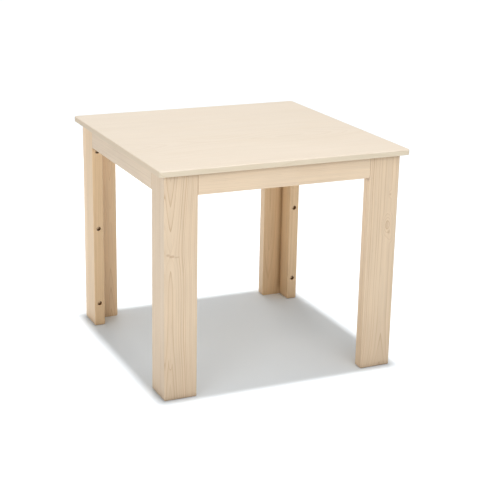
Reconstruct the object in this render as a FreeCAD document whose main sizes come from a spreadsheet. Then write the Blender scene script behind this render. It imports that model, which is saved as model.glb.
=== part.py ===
"""A square wooden table: four two-board L-section legs, four flush aprons and a thin square top.

Millimetres, +Z up. The origin is on the floor, under the middle of the top. X runs along the front.
"""

import FreeCAD, Part
import os

import Sketcher
from FreeCAD import Placement, Rotation, Vector

SIZES = {
    # outside sizes
    "top_width": 550.0,
    "top_thickness": 12.0,
    "table_height": 480.0,
    "overhang": 15.0,
    # stock of the frame
    "board_thickness": 24.0,
    "face_board_width": 70.0,
    "side_batten_width": 46.0,
    "apron_height": 45.0,
    # rounded edges
    "top_corner_round": 8.0,
    "top_arris_round": 2.5,
    "leg_corner_round": 3.0,
    "edge_round": 1.5,
    "edge_ease": 0.8,
    "foot_ease": 2.5,
    # screws that join the two boards of a leg
    "leg_screw_length": 50.0,
    "leg_screw_radius": 2.25,
    "leg_screw_head_radius": 4.5,
    "leg_screw_head_height": 3.0,
    "leg_screw_sink": 8.0,
    "leg_screw_bore": 10.0,
    "leg_screw_end": 54.0,
    "leg_screw_pitch": 180.0,
    "leg_screw_count": 3,
    # screws that hold the top
    "top_screw_length": 40.0,
    "top_screw_radius": 2.0,
    "top_screw_head_radius": 4.0,
    "top_screw_head_height": 2.6,
    "top_screw_bite": 8.0,
    "top_screw_bore": 9.0,
    "apron_screw_spacing": 220.0,
    # cross recess of every wood screw
    "recess_length": 4.4,
    "recess_width": 1.1,
    "recess_depth": 1.6,
    # dowels between aprons and legs
    "dowel_length": 35.0,
    "dowel_radius": 4.0,
    "dowel_chamfer": 1.0,
    "dowel_in_leg": 17.0,
    "dowel_gap": 1.0,
    "dowel_spacing": 22.0,
    # corner block with its bolts, washers and inserts
    "block_side": 46.0,
    "block_height": 42.0,
    "block_chamfer": 12.0,
    "block_screw_offset": 34.0,
    "bolt_offset": 18.0,
    "bolt_low": 14.0,
    "bolt_high": 27.0,
    "bolt_length": 60.0,
    "bolt_radius": 3.0,
    "bolt_head_radius": 5.25,
    "bolt_head_height": 3.3,
    "bolt_socket_radius": 2.3,
    "bolt_socket_depth": 2.0,
    "washer_radius": 6.0,
    "washer_thickness": 1.6,
    "insert_radius": 4.5,
    "insert_length": 13.0,
    "insert_hole_depth": 15.0,
}

# Each corner: the signs of its X and Y, its turn about Z, and the hand of its boards.
CORNERS = {
    "front_left": (-1, -1, 0, 1),
    "front_right": (1, -1, 0, -1),
    "back_right": (1, 1, 180, 1),
    "back_left": (-1, 1, 180, -1),
}

# Each side: its turn about Z and its outward direction.
SIDES = {
    "front": (0, 0, -1),
    "right": (90, 1, 0),
    "back": (180, 0, 1),
    "left": (270, -1, 0),
}

LEG_LENGTH = "(Sizes.table_height - Sizes.top_thickness)"
FRAME_HALF = "(Sizes.top_width / 2 - Sizes.overhang)"
THICK = "Sizes.board_thickness"
LEG_DEPTH = "(Sizes.board_thickness + Sizes.side_batten_width)"
APRON_LENGTH = "(2 * " + FRAME_HALF + " - 2 * Sizes.face_board_width)"
APRON_BASE = "(" + LEG_LENGTH + " - Sizes.apron_height)"
DOWEL_LOW = "(Sizes.apron_height / 2 - Sizes.dowel_spacing / 2)"
DOWEL_LEG_HOLE = "(Sizes.dowel_in_leg + Sizes.dowel_gap)"
DOWEL_APRON_HOLE = "(Sizes.dowel_length - Sizes.dowel_in_leg + Sizes.dowel_gap)"
TOP_SCREW_HOLD = "(Sizes.top_screw_length - Sizes.top_screw_bite)"
TOP_SCREW_SEAT = "(" + LEG_LENGTH + " - " + TOP_SCREW_HOLD + ")"
BLOCK_BASE = "(" + LEG_LENGTH + " - Sizes.block_height)"
BOLT_LEVEL = "(" + THICK + " + Sizes.bolt_offset)"
BOLT_FACE = "(" + THICK + " + Sizes.block_side)"
BOLT_INTO_SIDE = "(" + BLOCK_BASE + " + Sizes.bolt_low)"
BOLT_INTO_FACE = "(" + BLOCK_BASE + " + Sizes.bolt_high)"
BLOCK_SCREW = "(" + THICK + " + Sizes.block_screw_offset)"

NEAR = 1e-3
VOLUME_SLACK = 0.02

doc = FreeCAD.newDocument("SquareTable")
parts = []


def make_sheet():
    """Fill the spreadsheet with the driving dimensions, one alias to a row."""
    sheet = doc.addObject("Spreadsheet::Sheet", "Sizes")
    for row, (alias, size) in enumerate(SIZES.items(), start=1):
        sheet.set(f"A{row}", alias.replace("_", " "))
        sheet.set(f"B{row}", str(size))
        sheet.setAlias(f"B{row}", alias)
    doc.recompute()
    return sheet


sizes = make_sheet()


def value(expression):
    """The number that an expression over the sheet gives."""
    return float(sizes.evalExpression(str(expression)))


def signed(sign, expression):
    """An expression with a sign in front of it."""
    return f"{sign} * ({expression})"


def place(item, x="0", y="0", z="0", rotation=Rotation()):
    """Place an object at expressions over the sheet."""
    item.Placement = Placement(Vector(value(x), value(y), value(z)), rotation)
    for axis, expression in zip("xyz", (x, y, z)):
        item.setExpression(f"Placement.Base.{axis}", str(expression))


def about_z(degrees):
    """A turn about the vertical."""
    return Rotation(Vector(0, 0, 1), degrees)


def keep(item, name):
    """Name a finished sub-part and add it to the list that is written out."""
    item.Label = name
    parts.append(item)
    return item


def origin_feature(body, role):
    """One of a body's own origin planes or axes."""
    return next(f for f in body.Origin.OriginFeatures if f.Role == role)


def new_sketch(body, role, x="0", y="0", z="0"):
    """A sketch parallel to an origin plane, with its own origin at (x, y, z) of the body."""
    frames = {
        "XY_Plane": (x, y, z),
        "XZ_Plane": (x, z, signed(-1, y)),
        "YZ_Plane": (y, z, x),
    }
    sketch = body.newObject("Sketcher::SketchObject", "Sketch")
    sketch.AttachmentSupport = [(origin_feature(body, role), "")]
    sketch.MapMode = "FlatFace"
    for axis, expression in zip("xyz", frames[role]):
        sketch.setExpression(f"AttachmentOffset.Base.{axis}", str(expression))
    return sketch


def pin_point(sketch, line, across, up):
    """Hold a line's first point at (across, up) from the sketch's origin."""
    for kind, axis_line, expression in (("DistanceX", -2, across), ("DistanceY", -1, up)):
        distance = value(expression)
        if abs(distance) < NEAR:
            sketch.addConstraint(Sketcher.Constraint("PointOnObject", line, 1, axis_line))
            continue
        index = sketch.addConstraint(Sketcher.Constraint(kind, -1, 1, line, 1, distance))
        sketch.setExpression(f"Constraints[{index}]", str(expression))


def polygon(sketch, points):
    """A closed outline whose corners are pairs of expressions."""
    corners = [Vector(value(across), value(up), 0) for across, up in points]
    count = len(corners)
    for i in range(count):
        sketch.addGeometry(Part.LineSegment(corners[i], corners[(i + 1) % count]), False)
    for i in range(count):
        sketch.addConstraint(Sketcher.Constraint("Coincident", i, 2, (i + 1) % count, 1))
    for i, (across, up) in enumerate(points):
        pin_point(sketch, i, across, up)


def circle(sketch, radius):
    """A circle about the sketch's origin."""
    ring = sketch.addGeometry(Part.Circle(Vector(0, 0, 0), Vector(0, 0, 1), value(radius)), False)
    sketch.addConstraint(Sketcher.Constraint("Coincident", ring, 3, -1, 1))
    index = sketch.addConstraint(Sketcher.Constraint("Radius", ring, value(radius)))
    sketch.setExpression(f"Constraints[{index}]", str(radius))


def pad(body, sketch, length):
    """Raise a sketch by a length."""
    feature = body.newObject("PartDesign::Pad", "Pad")
    feature.Profile = sketch
    feature.setExpression("Length", str(length))
    sketch.Visibility = False
    body.Tip = feature
    doc.recompute()
    return feature


def bar(width, depth, height, x="0", y="0", z="0"):
    """A body that is a rectangular bar with its lowest corner at (x, y, z)."""
    body = doc.addObject("PartDesign::Body", "Body")
    sketch = new_sketch(body, "XY_Plane", x, y, z)
    polygon(sketch, [("0", "0"), (width, "0"), (width, depth), ("0", depth)])
    pad(body, sketch, height)
    return body


def edges_where(shape, test):
    """The names of the edges whose two end points both pass a test."""
    names = []
    for number, edge in enumerate(shape.Edges, start=1):
        if all(test(vertex.Point) for vertex in edge.Vertexes):
            names.append(f"Edge{number}")
    return names


def upright_edges(shape, x, y):
    """The vertical edges of a bar that stand at (x, y)."""
    return edges_where(shape, lambda p: abs(p.x - x) < NEAR and abs(p.y - y) < NEAR)


def foot_edges(shape, seam_y):
    """The edges round the bottom of a leg's board, apart from the one in the seam at seam_y."""
    around = edges_where(shape, lambda p: p.z < NEAR)
    glued = edges_where(shape, lambda p: p.z < NEAR and abs(p.y - seam_y) < NEAR)
    return [name for name in around if name not in glued]


def round_edges(body, names, radius, kind="Fillet"):
    """Fillet or chamfer a body's edges."""
    before = body.Shape.Volume
    feature = body.newObject("PartDesign::" + kind, kind)
    feature.Base = (body.Tip if body.Tip != feature else feature.BaseFeature, names)
    feature.setExpression("Radius" if kind == "Fillet" else "Size", str(radius))
    body.Tip = feature
    doc.recompute()
    if not names or body.Shape.Volume >= before:
        raise RuntimeError(f"{kind} on {body.Name} removed nothing")


def drill(body, role, at, toward, diameter, depth=None, bore=None, row=None):
    """Drill into a body from (x, y, z) along an axis.

    toward is +1 or -1 along the axis normal to the plane. bore is the width and depth of a
    counterbore. row is the axis, pitch and count of a row of equal holes.
    """
    start = body.Shape.Volume
    sketch = new_sketch(body, role, *at)
    circle(sketch, f"({diameter}) / 2")
    doc.recompute()
    hole = body.newObject("PartDesign::Hole", "Hole")
    hole.Profile = sketch
    doc.recompute()
    hole.Threaded = False
    hole.DrillPoint = "Flat"
    hole.setExpression("Diameter", str(diameter))
    if depth is None:
        hole.DepthType = "ThroughAll"
    else:
        hole.DepthType = "Dimension"
        hole.setExpression("Depth", str(depth))
    if bore is not None:
        hole.HoleCutType = "Counterbore"
        hole.HoleCutCustomValues = True
        hole.setExpression("HoleCutDiameter", str(bore[0]))
        hole.setExpression("HoleCutDepth", str(bore[1]))
    normal = -1 if role == "XZ_Plane" else 1
    hole.Reversed = toward == normal
    sketch.Visibility = False
    body.Tip = hole
    doc.recompute()
    removed = start - body.Shape.Volume
    if depth is not None and bore is None:
        expected = 3.14159265 * (value(diameter) / 2) ** 2 * value(depth)
        if abs(removed - expected) > VOLUME_SLACK * expected:
            raise RuntimeError(f"hole in {body.Name} removed {removed:.1f}, not {expected:.1f}")
    if removed <= 0:
        raise RuntimeError(f"hole in {body.Name} removed nothing")
    if row is not None:
        repeat_hole(body, hole, row, removed)


def repeat_hole(body, hole, row, removed):
    """Repeat a hole along an origin axis and check that every copy cut."""
    axis, pitch, count = row
    pattern = body.newObject("PartDesign::LinearPattern", "Row")
    pattern.Originals = [hole]
    pattern.Direction = (origin_feature(body, axis), [""])
    pattern.setExpression("Length", f"({pitch}) * (({count}) - 1)")
    pattern.setExpression("Occurrences", str(count))
    before = body.Shape.Volume
    body.Tip = pattern
    doc.recompute()
    expected = removed * (value(count) - 1)
    if abs(before - body.Shape.Volume - expected) > VOLUME_SLACK * expected:
        raise RuntimeError(f"row of holes in {body.Name} is incomplete")


def turned(name, profile):
    """A body turned about Z from a closed profile of (radius, height) corners."""
    body = doc.addObject("PartDesign::Body", name)
    sketch = new_sketch(body, "XZ_Plane")
    polygon(sketch, profile)
    feature = body.newObject("PartDesign::Revolution", "Turning")
    feature.Profile = sketch
    feature.ReferenceAxis = (origin_feature(body, "Z_Axis"), [""])
    feature.Angle = 360
    sketch.Visibility = False
    body.Tip = feature
    doc.recompute()
    return body


def copies(name, corner_placement, spots):
    """One sub-part of equal pieces: a compound of links to each model piece, at its spots."""
    links = []
    for model, at, rotation in spots:
        link = doc.addObject("App::Link", name + "_piece")
        link.LinkedObject = model
        place(link, *at, rotation)
        links.append(link)
    group = doc.addObject("Part::Compound", name)
    group.Links = links
    place(group, *corner_placement)
    return keep(group, name)


# Model pieces: one of each fastener. A head's seat is at z = 0 and its shank points down.


def wood_screw(name, prefix):
    """A pan-head wood screw with a pointed tip and a cross recess."""
    length = f"Sizes.{prefix}_length"
    radius = f"Sizes.{prefix}_radius"
    head = f"Sizes.{prefix}_head_radius"
    rise = f"Sizes.{prefix}_head_height"
    point = f"-({length} - 2.5 * {radius})"
    profile = [
        ("0", rise),
        (f"0.6 * {head}", rise),
        (head, f"0.4 * {rise}"),
        (head, "0"),
        (radius, "0"),
        (radius, point),
        ("0", f"-({length})"),
    ]
    body = turned(name, profile)
    for turn in range(2):
        long_side = "Sizes.recess_length"
        short_side = "Sizes.recess_width"
        width, depth = (long_side, short_side) if turn == 0 else (short_side, long_side)
        slot = body.newObject("PartDesign::SubtractiveBox", "Slot")
        slot.setExpression("Length", width)
        slot.setExpression("Width", depth)
        slot.setExpression("Height", "Sizes.recess_depth")
        place(slot, f"-{width} / 2", f"-{depth} / 2", f"{rise} - Sizes.recess_depth")
        doc.recompute()
    return body


def corner_bolt():
    """A button-head bolt with a hexagon socket."""
    head = "Sizes.bolt_head_radius"
    rise = "Sizes.bolt_head_height"
    profile = [
        ("0", rise),
        (f"0.5 * {head}", rise),
        (f"0.85 * {head}", f"0.65 * {rise}"),
        (head, f"0.15 * {rise}"),
        (head, "0"),
        ("Sizes.bolt_radius", "0"),
        ("Sizes.bolt_radius", "-(Sizes.bolt_length - 1)"),
        ("Sizes.bolt_radius - 1", "-Sizes.bolt_length"),
        ("0", "-Sizes.bolt_length"),
    ]
    body = turned("BoltModel", profile)
    socket = body.newObject("PartDesign::SubtractivePrism", "Socket")
    socket.Polygon = 6
    socket.setExpression("Circumradius", "Sizes.bolt_socket_radius")
    socket.setExpression("Height", "Sizes.bolt_socket_depth")
    place(socket, "0", "0", f"{rise} - Sizes.bolt_socket_depth")
    doc.recompute()
    return body


def ring(name, outer, inner, low, high):
    """A turned ring or sleeve about Z."""
    return turned(name, [(inner, low), (outer, low), (outer, high), (inner, high)])


def dowel():
    """A dowel along Z, its middle at z = 0, with chamfered ends."""
    half = "Sizes.dowel_length / 2"
    chamfer = "Sizes.dowel_chamfer"
    radius = "Sizes.dowel_radius"
    profile = [
        ("0", half),
        (f"{radius} - {chamfer}", half),
        (radius, f"{half} - {chamfer}"),
        (radius, f"-({half} - {chamfer})"),
        (f"{radius} - {chamfer}", f"-({half})"),
        ("0", f"-({half})"),
    ]
    return turned("DowelModel", profile)


leg_screw_model = wood_screw("LegScrewModel", "leg_screw")
top_screw_model = wood_screw("TopScrewModel", "top_screw")
bolt_model = corner_bolt()
washer_model = ring(
    "WasherModel", "Sizes.washer_radius", "Sizes.bolt_radius", "-Sizes.washer_thickness", "0"
)
insert_model = ring(
    "InsertModel", "Sizes.insert_radius", "Sizes.bolt_radius", "-Sizes.insert_length", "0"
)
dowel_model = dowel()

# The way a fastener's head points, for a shank that runs the other way.
HEAD_BACK = Rotation(Vector(1, 0, 0), -90)
HEAD_DOWN = Rotation(Vector(1, 0, 0), 180)
ALONG_X = Rotation(Vector(0, 1, 0), 90)


def head_inward(hand):
    """The turn that points a head along X, away from a leg of this hand."""
    return Rotation(Vector(0, 1, 0), 90 * hand)


def corner_spot(x_sign, y_sign, turn):
    """Where a leg's outer corner stands on the floor, and its turn."""
    return signed(x_sign, FRAME_HALF), signed(y_sign, FRAME_HALF), "0", about_z(turn)


def face_board(name, hand, spot):
    """The wide board of a leg: the front or back of the L."""
    width = "Sizes.face_board_width"
    low_x = "0" if hand > 0 else f"-{width}"
    body = bar(width, THICK, LEG_LENGTH, low_x)
    inner_x = value(signed(hand, width))
    thick = value(THICK)
    round_edges(body, foot_edges(body.Shape, thick), "Sizes.foot_ease", "Chamfer")
    round_edges(body, upright_edges(body.Shape, 0, 0), "Sizes.leg_corner_round")
    round_edges(body, upright_edges(body.Shape, inner_x, 0), "Sizes.edge_round")
    seam = upright_edges(body.Shape, 0, thick) + upright_edges(body.Shape, inner_x, thick)
    round_edges(body, seam, "Sizes.edge_ease")
    bite = f"(Sizes.leg_screw_length - Sizes.side_batten_width + Sizes.leg_screw_sink)"
    drill(
        body, "XZ_Plane", (signed(hand, f"{THICK} / 2"), THICK, "Sizes.leg_screw_end"), -1,
        "2 * Sizes.leg_screw_radius", bite,
        row=("Z_Axis", "Sizes.leg_screw_pitch", "Sizes.leg_screw_count"),
    )
    drill(
        body, "YZ_Plane", (signed(hand, width), f"{THICK} / 2", f"{APRON_BASE} + {DOWEL_LOW}"),
        -hand, "2 * Sizes.dowel_radius", DOWEL_LEG_HOLE, row=("Z_Axis", "Sizes.dowel_spacing", "2"),
    )
    drill(
        body, "XZ_Plane", (signed(hand, BOLT_LEVEL), THICK, BOLT_INTO_FACE), -1,
        "2 * Sizes.insert_radius", "Sizes.insert_hole_depth",
    )
    place(body, *spot)
    return keep(body, name)


def side_batten(name, hand, spot):
    """The narrow board of a leg: the side of the L, behind the face board."""
    low_x = "0" if hand > 0 else f"-{THICK}"
    body = bar(THICK, "Sizes.side_batten_width", LEG_LENGTH, low_x, THICK)
    thick = value(THICK)
    inner_x = hand * thick
    depth = value(LEG_DEPTH)
    round_edges(body, foot_edges(body.Shape, thick), "Sizes.foot_ease", "Chamfer")
    arrises = upright_edges(body.Shape, 0, depth) + upright_edges(body.Shape, inner_x, depth)
    round_edges(body, arrises, "Sizes.edge_round")
    seam = upright_edges(body.Shape, 0, thick)
    round_edges(body, seam, "Sizes.edge_ease")
    middle = f"{THICK} / 2"
    drill(
        body, "XZ_Plane", (signed(hand, middle), LEG_DEPTH, "Sizes.leg_screw_end"), -1,
        "2 * Sizes.leg_screw_radius", bore=("Sizes.leg_screw_bore", "Sizes.leg_screw_sink"),
        row=("Z_Axis", "Sizes.leg_screw_pitch", "Sizes.leg_screw_count"),
    )
    drill(
        body, "XZ_Plane", (signed(hand, middle), LEG_DEPTH, f"{APRON_BASE} + {DOWEL_LOW}"), -1,
        "2 * Sizes.dowel_radius", DOWEL_LEG_HOLE, row=("Z_Axis", "Sizes.dowel_spacing", "2"),
    )
    drill(
        body, "YZ_Plane", (signed(hand, THICK), BOLT_LEVEL, BOLT_INTO_SIDE), -hand,
        "2 * Sizes.insert_radius", "Sizes.insert_hole_depth",
    )
    place(body, *spot)
    return keep(body, name)


def leg_screws(name, hand, spot):
    """The three screws through a side batten into its face board."""
    seat = f"{LEG_DEPTH} - Sizes.leg_screw_sink"
    spots = []
    for i in range(int(value("Sizes.leg_screw_count"))):
        height = f"Sizes.leg_screw_end + {i} * Sizes.leg_screw_pitch"
        spots.append((leg_screw_model, (signed(hand, f"{THICK} / 2"), seat, height), HEAD_BACK))
    return copies(name, spot, spots)


def corner_block(name, hand, spot):
    """The block in a leg's corner, with its free corner cut off."""
    side = "Sizes.block_side"
    low_x = THICK if hand > 0 else f"-({THICK} + {side})"
    body = bar(side, side, "Sizes.block_height", low_x, THICK, BLOCK_BASE)
    free = value(BOLT_FACE)
    cut = upright_edges(body.Shape, hand * free, free)
    round_edges(body, cut, "Sizes.block_chamfer", "Chamfer")
    drill(
        body, "YZ_Plane", (signed(hand, BOLT_FACE), BOLT_LEVEL, BOLT_INTO_SIDE), -hand,
        "2 * Sizes.bolt_radius", side,
    )
    drill(
        body, "XZ_Plane", (signed(hand, BOLT_LEVEL), BOLT_FACE, BOLT_INTO_FACE), -1,
        "2 * Sizes.bolt_radius", side,
    )
    drill(
        body, "XY_Plane", (signed(hand, BLOCK_SCREW), BLOCK_SCREW, BLOCK_BASE), 1,
        "2 * Sizes.top_screw_radius",
        bore=("Sizes.top_screw_bore", f"Sizes.block_height - {TOP_SCREW_HOLD}"),
    )
    place(body, *spot)
    return keep(body, name)


def bolt_spots(hand, model, reach):
    """The two bolt axes of a corner, at a reach along them from the leg's outer faces."""
    into_side = (signed(hand, reach), BOLT_LEVEL, BOLT_INTO_SIDE)
    into_face = (signed(hand, BOLT_LEVEL), reach, BOLT_INTO_FACE)
    return [(model, into_side, head_inward(hand)), (model, into_face, HEAD_BACK)]


def make_leg(corner):
    """One leg with its screws, and the block and bolts that hold it."""
    x_sign, y_sign, turn, hand = CORNERS[corner]
    spot = corner_spot(x_sign, y_sign, turn)
    face_board(f"leg_face_board_{corner}", hand, spot)
    side_batten(f"leg_side_batten_{corner}", hand, spot)
    leg_screws(f"leg_screws_{corner}", hand, spot)
    corner_block(f"corner_block_{corner}", hand, spot)
    seat = f"{BOLT_FACE} + Sizes.washer_thickness"
    copies(f"corner_bolts_{corner}", spot, bolt_spots(hand, bolt_model, seat))
    copies(f"corner_washers_{corner}", spot, bolt_spots(hand, washer_model, seat))
    copies(f"threaded_inserts_{corner}", spot, bolt_spots(hand, insert_model, THICK))
    screw_at = (signed(hand, BLOCK_SCREW), BLOCK_SCREW, TOP_SCREW_SEAT)
    copies(f"block_screw_{corner}", spot, [(top_screw_model, screw_at, HEAD_DOWN)])


def apron_board(name, spot):
    """A rail between two legs, its outer face at y = 0 and its middle at x = 0."""
    body = bar(APRON_LENGTH, THICK, "Sizes.apron_height", signed(-0.5, APRON_LENGTH), "0", APRON_BASE)
    half = value(APRON_LENGTH) / 2
    base = value(APRON_BASE)
    ends = []
    for sign in (-1, 1):
        ends += upright_edges(body.Shape, sign * half, 0)
    round_edges(body, ends, "Sizes.edge_ease")
    low_front = edges_where(body.Shape, lambda p: abs(p.y) < NEAR and abs(p.z - base) < NEAR)
    round_edges(body, low_front, "Sizes.edge_ease", "Chamfer")
    thick = value(THICK)
    low_back = edges_where(body.Shape, lambda p: abs(p.y - thick) < NEAR and abs(p.z - base) < NEAR)
    round_edges(body, low_back, "Sizes.edge_ease")
    for sign in (-1, 1):
        end = signed(sign * 0.5, APRON_LENGTH)
        drill(
            body, "YZ_Plane", (end, f"{THICK} / 2", f"{APRON_BASE} + {DOWEL_LOW}"), -sign,
            "2 * Sizes.dowel_radius", DOWEL_APRON_HOLE, row=("Z_Axis", "Sizes.dowel_spacing", "2"),
        )
    drill(
        body, "XY_Plane", ("-Sizes.apron_screw_spacing / 2", f"{THICK} / 2", APRON_BASE), 1,
        "2 * Sizes.top_screw_radius",
        bore=("Sizes.top_screw_bore", f"Sizes.apron_height - {TOP_SCREW_HOLD}"),
        row=("X_Axis", "Sizes.apron_screw_spacing", "2"),
    )
    place(body, *spot)
    return keep(body, name)


def make_apron(side):
    """One apron with its dowels and its screws into the top."""
    turn, x_out, y_out = SIDES[side]
    spot = (signed(x_out, FRAME_HALF), signed(y_out, FRAME_HALF), "0", about_z(turn))
    apron_board(f"apron_{side}", spot)
    dowels = []
    middle = f"({APRON_LENGTH} / 2 + Sizes.dowel_in_leg - Sizes.dowel_length / 2)"
    for sign in (-1, 1):
        for level in range(2):
            height = f"{APRON_BASE} + {DOWEL_LOW} + {level} * Sizes.dowel_spacing"
            dowels.append((dowel_model, (signed(sign, middle), f"{THICK} / 2", height), ALONG_X))
    copies(f"apron_dowels_{side}", spot, dowels)
    screws = []
    for sign in (-0.5, 0.5):
        at = (signed(sign, "Sizes.apron_screw_spacing"), f"{THICK} / 2", TOP_SCREW_SEAT)
        screws.append((top_screw_model, at, HEAD_DOWN))
    copies(f"apron_screws_{side}", spot, screws)


def make_top():
    """The top panel: rounded corners and arrises, and pilot holes for the screws from below."""
    width = "Sizes.top_width"
    body = bar(width, width, "Sizes.top_thickness", f"-{width} / 2", f"-{width} / 2", LEG_LENGTH)
    half = value(width) / 2
    corners = []
    for x_sign, y_sign, _, _ in CORNERS.values():
        corners += upright_edges(body.Shape, x_sign * half, y_sign * half)
    round_edges(body, corners, "Sizes.top_corner_round")
    top = value("Sizes.table_height")
    upper = edges_where(body.Shape, lambda p: abs(p.z - top) < NEAR)
    round_edges(body, upper, "Sizes.top_arris_round")
    lower = edges_where(body.Shape, lambda p: abs(p.z - value(LEG_LENGTH)) < NEAR)
    round_edges(body, lower, "Sizes.edge_round")
    hole = "2 * Sizes.top_screw_radius"
    apron_line = f"({FRAME_HALF} - {THICK} / 2)"
    block_line = f"({FRAME_HALF} - {BLOCK_SCREW})"
    half_spacing = "Sizes.apron_screw_spacing / 2"
    across = []
    for sign in (-1, 1):
        across.append((signed(-1, half_spacing), signed(sign, apron_line), half_spacing))
        across.append((signed(-1, apron_line), signed(sign, half_spacing), apron_line))
        across.append((signed(-1, block_line), signed(sign, block_line), block_line))
    for x, y, reach in across:
        drill(
            body, "XY_Plane", (x, y, LEG_LENGTH), 1, hole, "Sizes.top_screw_bite",
            row=("X_Axis", f"2 * {reach}", "2"),
        )
    return keep(body, "table_top")


def check_document():
    """Stop if any object failed, or any sub-part has no sound shape."""
    for item in doc.Objects:
        if "Invalid" in item.State or "Error" in item.State:
            raise RuntimeError(f"{item.Name} failed: {item.State}")
    for item in parts:
        if item.Shape.isNull() or not item.Shape.isValid():
            raise RuntimeError(f"{item.Label} has no valid shape")


def write_parts():
    """Write each sub-part to its own STEP file and print its size."""
    os.makedirs("parts", exist_ok=True)
    for item in parts:
        item.Shape.exportStep(f"parts/{item.Label}.step")
        box = item.Shape.BoundBox
        low = f"({box.XMin:.1f}, {box.YMin:.1f}, {box.ZMin:.1f})"
        high = f"({box.XMax:.1f}, {box.YMax:.1f}, {box.ZMax:.1f})"
        print(f"{item.Label}: {len(item.Shape.Solids)} solid(s), {low} to {high}")


make_top()
for side_name in SIDES:
    make_apron(side_name)
for corner_name in CORNERS:
    make_leg(corner_name)
doc.recompute()
check_document()
write_parts()
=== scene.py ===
"""A square pine table: the finish of every board, the fasteners that hold it, and the studio it stands in.

Metres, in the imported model's frame: +Z up, the origin on the floor under the middle of the top, X along the
front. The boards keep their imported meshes, and each gets a finish cut out of a solid log, so that its rings
run on round the corners. Screws, bolts, washers, inserts and dowels are grown by node trees.
"""

import logging
import math
from dataclasses import dataclass
from enum import Enum

import bmesh
import bpy
from mathutils import Matrix, Vector

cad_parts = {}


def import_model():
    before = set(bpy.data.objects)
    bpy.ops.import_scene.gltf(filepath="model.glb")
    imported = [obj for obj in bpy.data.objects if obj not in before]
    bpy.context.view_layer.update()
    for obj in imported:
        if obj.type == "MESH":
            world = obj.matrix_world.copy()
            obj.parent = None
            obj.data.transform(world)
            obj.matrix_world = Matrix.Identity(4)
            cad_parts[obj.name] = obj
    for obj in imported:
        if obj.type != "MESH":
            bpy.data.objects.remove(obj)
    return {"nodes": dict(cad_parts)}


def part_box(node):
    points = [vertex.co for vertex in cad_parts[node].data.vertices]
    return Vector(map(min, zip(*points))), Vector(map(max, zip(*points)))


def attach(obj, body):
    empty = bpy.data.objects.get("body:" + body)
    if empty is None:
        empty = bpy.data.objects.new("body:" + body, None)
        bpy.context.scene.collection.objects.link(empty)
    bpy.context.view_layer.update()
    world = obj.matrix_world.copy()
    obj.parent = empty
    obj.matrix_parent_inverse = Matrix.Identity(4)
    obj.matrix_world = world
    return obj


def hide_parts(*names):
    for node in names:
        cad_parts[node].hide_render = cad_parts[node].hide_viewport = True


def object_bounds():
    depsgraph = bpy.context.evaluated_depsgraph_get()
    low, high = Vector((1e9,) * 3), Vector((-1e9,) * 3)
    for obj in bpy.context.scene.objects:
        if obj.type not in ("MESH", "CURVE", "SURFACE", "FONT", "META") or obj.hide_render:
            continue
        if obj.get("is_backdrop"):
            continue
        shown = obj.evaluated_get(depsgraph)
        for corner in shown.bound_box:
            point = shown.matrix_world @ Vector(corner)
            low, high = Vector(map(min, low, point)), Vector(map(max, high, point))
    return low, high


LOG = logging.getLogger("table")
BODY = "root"
FULL_TURN = 2.0 * math.pi
UP, X_WAY, Y_WAY = Vector((0.0, 0.0, 1.0)), Vector((1.0, 0.0, 0.0)), Vector((0.0, 1.0, 0.0))

Socket = bpy.types.NodeSocket
Colour = tuple[float, float, float]
Outline = tuple[tuple[float, float], ...]


def add_object(name: str, data: bpy.types.ID) -> bpy.types.Object:
    """Add a new object to the scene.

    Args:
        name: the object's name.
        data: its mesh, light or camera.

    Returns:
        The object.
    """
    item = bpy.data.objects.new(name, data)
    bpy.context.scene.collection.objects.link(item)
    return item


# ---------------------------------------------------------------------------------------------- node trees


class Field:
    """A number or vector that a tree works out, so that sums over it are written as sums."""

    def __init__(self, graph: "Graph", socket: Socket) -> None:
        """Keep the output socket, and the graph that new nodes go to."""
        self.graph, self.socket = graph, socket

    def __add__(self, other: "Value") -> "Field":
        """The sum."""
        return self.graph.math("ADD", self, other)

    def __sub__(self, other: "Value") -> "Field":
        """The difference."""
        return self.graph.math("SUBTRACT", self, other)

    def __rsub__(self, other: float) -> "Field":
        """The difference, from a plain number."""
        return self.graph.math("SUBTRACT", other, self)

    def __mul__(self, other: "Value") -> "Field":
        """The product."""
        return self.graph.math("MULTIPLY", self, other)

    def __truediv__(self, other: "Value") -> "Field":
        """The quotient."""
        return self.graph.math("DIVIDE", self, other)

    def __pow__(self, other: float) -> "Field":
        """The power."""
        return self.graph.math("POWER", self, other)

    def __abs__(self) -> "Field":
        """The size without its sign."""
        return self.graph.math("ABSOLUTE", self)


Value = Field | float | tuple[float, ...]
Places = tuple[Field, Field, Field]


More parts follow.
